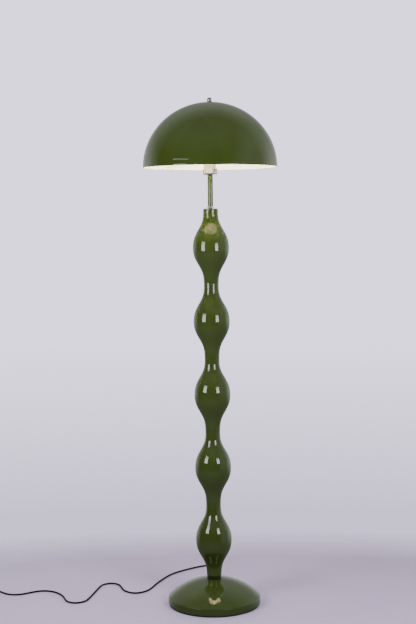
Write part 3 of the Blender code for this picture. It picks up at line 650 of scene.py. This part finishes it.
# ---------------------------------------------------------------- stem, lampholder and bulb
def make_stem():
    """The thin tube and the nut on it."""
    _, low, high = span("stem_tube")
    outer = 0.0080
    inner = 0.0066
    outline = rounded([(inner, low), (outer, low), (outer, high), (inner, high)], 0.0003)
    place(lathe("stem", outline, GREEN), "lamp", "green_paint", "stem_tube")
    _, low, high = span("stem_nut")
    place(nut("stem_hex_nut", 0.0145, low, high, NICKEL), "lamp", "chrome", "stem_nut")


def make_lampholder():
    """The cream holder in two halves, with a bead where they meet and grip rings on the upper half."""
    radius, low, high = span("holder_cap")
    wall = 0.0022
    side = radius - 0.0008
    cap = rounded([(BORE_R, low), (side, low, 0.0042), (side, high - 0.0022, 0.0003),
                   (radius, high - 0.0016, 0.0004), (radius, high, 0.0003), (radius - wall, high),
                   (radius - wall, low + 0.0045), (radius - 0.0045, low + wall), (BORE_R, low + wall)])
    place(lathe("holder_lower", cap, CREAM, 72), "lamp", "cream_plastic", "holder_cap")

    radius, low, high = span("holder_body")
    mouth = 0.0150
    side = radius - 0.0008
    ring = radius - 0.0001
    body = [(radius - wall, low), (radius - 0.0003, low), (radius, low + 0.0004), (radius, low + 0.0018),
            (side, low + 0.0024)]
    grip_rings = 7
    for i in range(grip_rings):
        start = low + 0.0060 + 0.0026 * i
        body += [(side, start), (ring, start + 0.0007), (ring, start + 0.0014), (side, start + 0.0021)]
    body += [(side, high - 0.0018), (radius - 0.0012, high - 0.0005), (radius - 0.0020, high),
             (mouth + 0.0003, high), (mouth, high - 0.0004), (mouth, high - 0.0035),
             (radius - wall, high - 0.0045)]
    place(lathe("holder_upper", body, CREAM, 72), "lamp", "cream_plastic", "holder_body")


def make_bulb():
    """Threaded cap, finned housing and lit opal globe."""
    radius, low, high = span("bulb_cap")
    outline = [(0, low), (0.0040, low), (0.0045, low + 0.0006), (0.0045, low + 0.0022),
               (0.0100, low + 0.0036), (0.0119, low + 0.0050)]
    turns = 6
    pitch = 0.0026
    root = 0.0121
    for i in range(turns * 4):
        wave = 0.5 - 0.5 * math.cos(TAU * i / 4)
        outline.append((root + (radius - root) * wave, low + 0.0058 + pitch * i / 4))
    outline += [(0.0124, high - 0.0012), (0.0124, high), (0, high)]
    place(lathe("bulb_thread", outline, ZINC, 64), "bulb", "zinc_steel", "bulb_cap")

    radius, low, high = span("bulb_housing")
    steps = 120
    bm = bmesh.new()
    rings = [[bm.verts.new((0, 0, low))]]
    profile = [(0.0133, 0), (0.0150, 0.004), (0.0190, 0.0105), (0.0225, 0.016), (0.0256, 0.023),
               (radius - 0.0004, 0.0325), (radius, 0.0333), (radius, 0.034)]
    for number, (reach, rise) in enumerate(profile):
        fin = 0.0007 if 1 <= number <= 4 else 0
        ring = []
        for i in range(steps):
            angle = TAU * i / steps
            r = reach - fin * (i % 4 < 2)
            ring.append(bm.verts.new((r * math.cos(angle), r * math.sin(angle), low + rise)))
        rings.append(ring)
    rings.append([bm.verts.new((0, 0, high))])
    stitch(bm, rings)
    place(add_object("bulb_base", bm, [WHITE]), "bulb", "white_plastic", "bulb_housing")

    radius, low, high = span("bulb_globe")
    cut = 0.0085
    middle = low + cut
    rise = high - middle
    foot = -math.asin(cut / radius)

    def shell(inset):
        """Points from the top of the globe down to its cut foot."""
        points = []
        for i in range(25):
            angle = math.radians(90) + (foot - math.radians(90)) * i / 24
            tall = rise - inset if angle > 0 else radius
            points.append(((radius - inset) * math.cos(angle), middle + tall * math.sin(angle)))
        points[0] = (0, middle + rise - inset)
        return points

    place(lathe("bulb_opal_globe", shell(0) + shell(0.0012)[::-1], OPAL, 64), "bulb", "opal_diffuser",
          "bulb_globe")


# ---------------------------------------------------------------- harp, shade and finial
HARP_ANGLE = math.radians(-52)
EAR_S = 0.026
HARP_WIRE_R = 0.0016


def in_harp_plane(s, z):
    """A point at distance s from the axis towards the front leg."""
    return Vector((s * math.cos(HARP_ANGLE), s * math.sin(HARP_ANGLE), z))


def make_harp():
    """Saddle, wire loop, its top boss, and the two ferrules that lock it."""
    half = [(0.0565, 1.400), (0.0565, 1.430), (0.0480, 1.470), (0.0280, 1.500), (0.0100, 1.5078)]
    right = [(EAR_S, 1.3167), (EAR_S, 1.3380), (0.0310, 1.354)] + half
    route = [in_harp_plane(s, z) for s, z in right] + [in_harp_plane(0, 1.5083)] \
        + [in_harp_plane(-s, z) for s, z in reversed(right)]
    wire = smooth_tube("harp_loop", route, HARP_WIRE_R, CHROME)
    place(wire, "lamp", "chrome", "harp_wire")

    low = 1.5045
    high = 1.5122
    bore = 0.0030
    outer = 0.0060
    outline = rounded([(bore, low), (0.0052, low), (outer, low + 0.0010), (outer, high), (bore, high)],
                      0.0003)
    place(lathe("harp_boss", outline, CHROME), "lamp", "chrome")

    _, low, high = span("harp_saddle")
    flat = low + 0.0018
    sections = [(EAR_S + 0.0008, 0.0058, 0.0030, low), (EAR_S + 0.0012, 0.0060, 0.0032, low + 0.0004),
                (EAR_S + 0.0012, 0.0060, 0.0032, flat - 0.0004), (EAR_S + 0.0008, 0.0058, 0.0030, flat),
                (BORE_R, BORE_R, BORE_R, flat), (BORE_R, BORE_R, BORE_R, low)]
    saddle = slab("harp_strap", sections, NICKEL, closed=True, capped=False)
    saddle.data.transform(Matrix.Rotation(HARP_ANGLE, 4, "Z"))
    place(saddle, "lamp", "zinc_steel", "harp_saddle")

    stub_r = 0.0027
    foot = flat - 0.0010
    outline = rounded([(0, foot), (stub_r, foot), (stub_r, high, 0.0004), (0, high)], closed=False)
    for name, side in (("harp_stub_front", 1), ("harp_stub_back", -1)):
        stub = lathe(name, outline, ZINC, 32)
        stub.data.transform(Matrix.Translation(in_harp_plane(side * EAR_S, 0)))
        place(stub, "lamp", "zinc_steel")

    outer = 0.0052
    waist = outer - 0.0006
    bore = 0.0033
    for end, side in (("front", 1), ("back", -1)):
        node = "harp_ferrule_" + end
        _, low, high = span(node)
        outline = rounded([(bore, low), (outer, low, 0.0005), (outer, low + 0.0030, 0.0003),
                           (waist, low + 0.0036, 0.0003), (waist, high - 0.0040, 0.0003),
                           (outer, high - 0.0034, 0.0003), (outer, high, 0.0012), (bore, high)])
        ferrule = lathe(node + "_sleeve", outline, NICKEL, 40)
        ferrule.data.transform(Matrix.Translation(in_harp_plane(side * EAR_S, 0)))
        place(ferrule, "ferrule_" + end, "chrome", node)


STUD_HOLE_R = 0.0034     # hole for the stud in the shade, the washer and the finial


def make_shade():
    """The dome, green outside and white inside, with a rolled rim, and the washer on it."""
    radius, rim, seat = span("shade")
    rise = 0.1928
    wall = 0.0010
    seat_r = 0.012
    roll = 0.0011
    first = math.asin(seat_r / radius)
    outer = arc(radius, rise, rim, first, math.acos(roll / rise), 72)
    hem = [(radius - roll + roll * math.cos(a), rim + roll + roll * math.sin(a))
           for a in (math.radians(-20 * i) for i in range(1, 14))]
    inner = arc(radius - wall, rise - wall, rim, math.acos((2.2 * roll) / (rise - wall)), first, 48)
    hole = STUD_HOLE_R
    outline = outer + hem + inner[:-1] + [(seat_r, seat - wall), (hole, seat - wall), (hole, seat)]
    under_hem = len(outer) + 5
    shade = lathe("dome_shade", outline, GREEN, 160, ENAMEL, under_hem)
    place(shade, "shade", "green_paint", "shade")

    _, low, high = span("shade_washer")
    washer_r = 0.0085
    outline = rounded([(hole, low), (washer_r, low), (washer_r, high), (hole, high)], 0.0003)
    place(lathe("top_washer", outline, CHROME), "shade", "chrome", "shade_washer")


def make_finial():
    """The ball nut, on a low foot, bored for the stud."""
    _, low, high = span("finial")
    ball_r = 0.0076
    centre = high - ball_r
    stud = span("swivel_stud")[2] + GAP
    start = math.asin((low + 0.0016 - centre) / ball_r)
    ball = arc(ball_r, ball_r, centre, math.radians(90) - start, 0, 24)
    ball[-1] = (0, high)
    foot_r = ball[0][0]
    foot = [(0, stud), (STUD_HOLE_R, stud), (STUD_HOLE_R, low), (foot_r - 0.0002, low),
            (foot_r + 0.0002, low + 0.0003), (foot_r + 0.0002, low + 0.0010),
            (foot_r - 0.0003, low + 0.0013)]
    place(lathe("ball_finial", foot + ball, CHROME), "finial", "chrome", "finial")


# ---------------------------------------------------------------- CAD nodes that stay as they are
KEPT = {
    IRON: ["ballast_disc"],
    ZINC: ["base_spacer", "base_washer", "base_nut", "tie_tube", "stem_nipple", "switch_screw_left",
           "switch_screw_right"],
    BRASS: ["stem_bush_lower", "stem_bush_upper", "terminal_screw_left", "terminal_screw_right",
            "centre_contact", "screw_shell"],
    WHITE: ["centring_bush_1", "centring_bush_2", "centring_bush_3", "centring_bush_4", "contact_block",
            "switch_contacts"],
    SHEATH: ["inner_lead"],
    CHROME: ["swivel_stud"],
}


def dress_kept_nodes():
    """Gives each CAD node that still shows its finished material."""
    for material, names in KEPT.items():
        for name in names:
            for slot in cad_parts[name].material_slots:
                slot.material = material


# ---------------------------------------------------------------- studio
FLOOR_HALF_X = 2.0
FLOOR_HALF_Y = 0.85
UNDERSIDE = 0.29        # strength of what the lamp mirrors from below, in place of the floor
SOFTBOX_COLOUR = (0.93, 0.97, 1.0)
SOFTBOXES = {           # azimuth in degrees, distance, lowest and highest point, width, power in watts
    "left_softbox": (-50, 1.55, 0.80, 1.33, 0.62, 14.8),
    "left_softbox_top": (-50, 1.55, 1.33, 1.60, 0.62, 5.2),
    "left_streak": (-49, 1.55, 1.61, 1.66, 0.76, 0.4),
    "right_softbox": (36, 1.60, 0.80, 1.27, 0.52, 11.7),
    "right_softbox_top": (36, 1.60, 1.27, 1.50, 0.52, 4.1),
}
BULB_COLOUR = (1.0, 0.85, 0.52)
BULB_POWER = 4.6


def make_floor():
    """A pale floor that fades into the backdrop some way out. The camera sees it with the lamp's shadow,
    and the lamp mirrors the world's underside instead."""
    bm = bmesh.new()
    bmesh.ops.create_circle(bm, cap_ends=True, segments=96, radius=4.0)
    made = surface("pale_floor", (0.76, 0.60, 0.91), (0.80, 0.64, 0.95), 0.8, (0.55, 0.70), 0.004, 0.00002)
    nodes = Nodes(made.node_tree)
    shader = made.node_tree.nodes["Principled BSDF"]
    spot = nodes.add("ShaderNodeNewGeometry").outputs["Position"]
    shares = nodes.add("ShaderNodeVectorMath", [(0, spot), (1, (1 / FLOOR_HALF_X, 1 / FLOOR_HALF_Y, 0))],
                       operation="MULTIPLY").outputs["Vector"]
    outward = nodes.add("ShaderNodeVectorMath", [(0, shares)], operation="LENGTH").outputs["Value"]
    fade = nodes.ramp(outward, 0.6, 1.0, 0, 1)
    clear = nodes.add("ShaderNodeBsdfTransparent").outputs["BSDF"]
    mixed = nodes.add("ShaderNodeMixShader", [("Fac", fade), (1, shader.outputs["BSDF"]), (2, clear)])
    output = made.node_tree.nodes["Material Output"]
    made.node_tree.links.new(mixed.outputs["Shader"], output.inputs["Surface"])
    floor = add_object("floor", bm, [made])
    floor.visible_diffuse = False
    floor.visible_glossy = False


def make_world():
    """The pale backdrop that the camera sees, and the light that reaches the lamp: strong from the back,
    weaker from the right and from above, and even from below."""
    world = bpy.data.worlds.new("studio")
    bpy.context.scene.world = world
    world.use_nodes = True
    nodes = Nodes(world.node_tree)
    direction = nodes.add("ShaderNodeTexCoord").outputs["Generated"]
    parts = nodes.add("ShaderNodeSeparateXYZ", [("Vector", direction)]).outputs
    back = nodes.ramp(parts["Y"], 0.1, 0.6, 0.02, 1.5)
    lower = nodes.ramp(parts["Z"], 0.0, 0.45, 1.0, 0.42)
    back = nodes.combine("MULTIPLY", back, lower)
    side = nodes.ramp(parts["X"], 0.58, 0.88, 0.0, 0.55)
    above = nodes.ramp(parts["Z"], 0.35, 0.8, 0.0, 0.28)
    light = nodes.combine("ADD", nodes.combine("ADD", back, side), above)
    level = nodes.ramp(parts["Z"], -0.40, -0.06, 0.0, 1.0)
    light = nodes.between(level, UNDERSIDE, light)
    seen = nodes.add("ShaderNodeLightPath").outputs["Is Camera Ray"]
    backdrop = nodes.ramp(parts["Z"], -0.24, -0.10, 1.05, 1.90)
    strength = nodes.between(seen, light, backdrop)
    sky = world.node_tree.nodes["Background"]
    tint = nodes.blend(seen, (0.95, 0.97, 1.0), (0.93, 0.87, 1.14))
    world.node_tree.links.new(tint, sky.inputs["Color"])
    world.node_tree.links.new(strength, sky.inputs["Strength"])


def softbox(name, azimuth, distance, low, high, width, power):
    """A rectangular soft light that faces the axis. Azimuth is from the front, positive to the right."""
    data = bpy.data.lights.new(name, "AREA")
    data.shape = "RECTANGLE"
    data.size = width
    data.size_y = high - low
    data.energy = power
    data.color = SOFTBOX_COLOUR
    light = bpy.data.objects.new(name, data)
    angle = math.radians(azimuth)
    light.location = (distance * math.sin(angle), -distance * math.cos(angle), (low + high) / 2)
    light.rotation_euler = (math.radians(90), 0, angle)
    light.visible_camera = False
    bpy.context.scene.collection.objects.link(light)
    return light


def link_to_shade(state, lights):
    """Lets these lights reach only the shade (INCLUDE), or everything but the shade (EXCLUDE)."""
    receivers = bpy.data.collections.new("shade_" + state.lower())
    receivers.objects.link(bpy.data.objects["dome_shade"])
    receivers.collection_objects[0].light_linking.link_state = state
    for light in lights:
        light.light_linking.receiver_collection = receivers


def bulb_glow():
    """The light of the lit bulb, which the globe lets through."""
    low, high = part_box("bulb_globe")
    data = bpy.data.lights.new("bulb_glow", "POINT")
    data.energy = BULB_POWER
    data.color = BULB_COLOUR
    data.shadow_soft_size = 0.006
    light = bpy.data.objects.new("bulb_glow", data)
    light.location = (low + high) / 2
    light.visible_camera = False
    light.visible_glossy = False
    bpy.context.scene.collection.objects.link(light)
    bpy.data.objects["bulb_opal_globe"].visible_shadow = False


def fill(name, power):
    """Soft light from above the lamp's front, without a mirror image in the paint."""
    data = bpy.data.lights.new(name, "AREA")
    data.size = 1.0
    data.energy = power
    light = bpy.data.objects.new(name, data)
    light.matrix_world = Matrix.Translation((0, -0.9, 2.2)) @ Matrix.Rotation(math.radians(48), 4, "X")
    light.visible_camera = False
    light.visible_glossy = False
    bpy.context.scene.collection.objects.link(light)
    return light


def make_studio():
    """Floor, backdrop, softboxes, fills and the lit bulb. The softboxes' tops don't reach the shade, which
    a fill of its own lights instead."""
    make_floor()
    make_world()
    boxes = {name: softbox(name, *numbers) for name, numbers in SOFTBOXES.items()}
    link_to_shade("EXCLUDE", [boxes["left_softbox_top"], boxes["right_softbox_top"]])
    fill("top_fill", 1.0)
    link_to_shade("INCLUDE", [fill("shade_fill", 9.0)])
    bulb_glow()


make_base()
make_column()
make_stem()
make_lampholder()
make_bulb()
make_harp()
make_shade()
make_finial()
dress_kept_nodes()
make_studio()
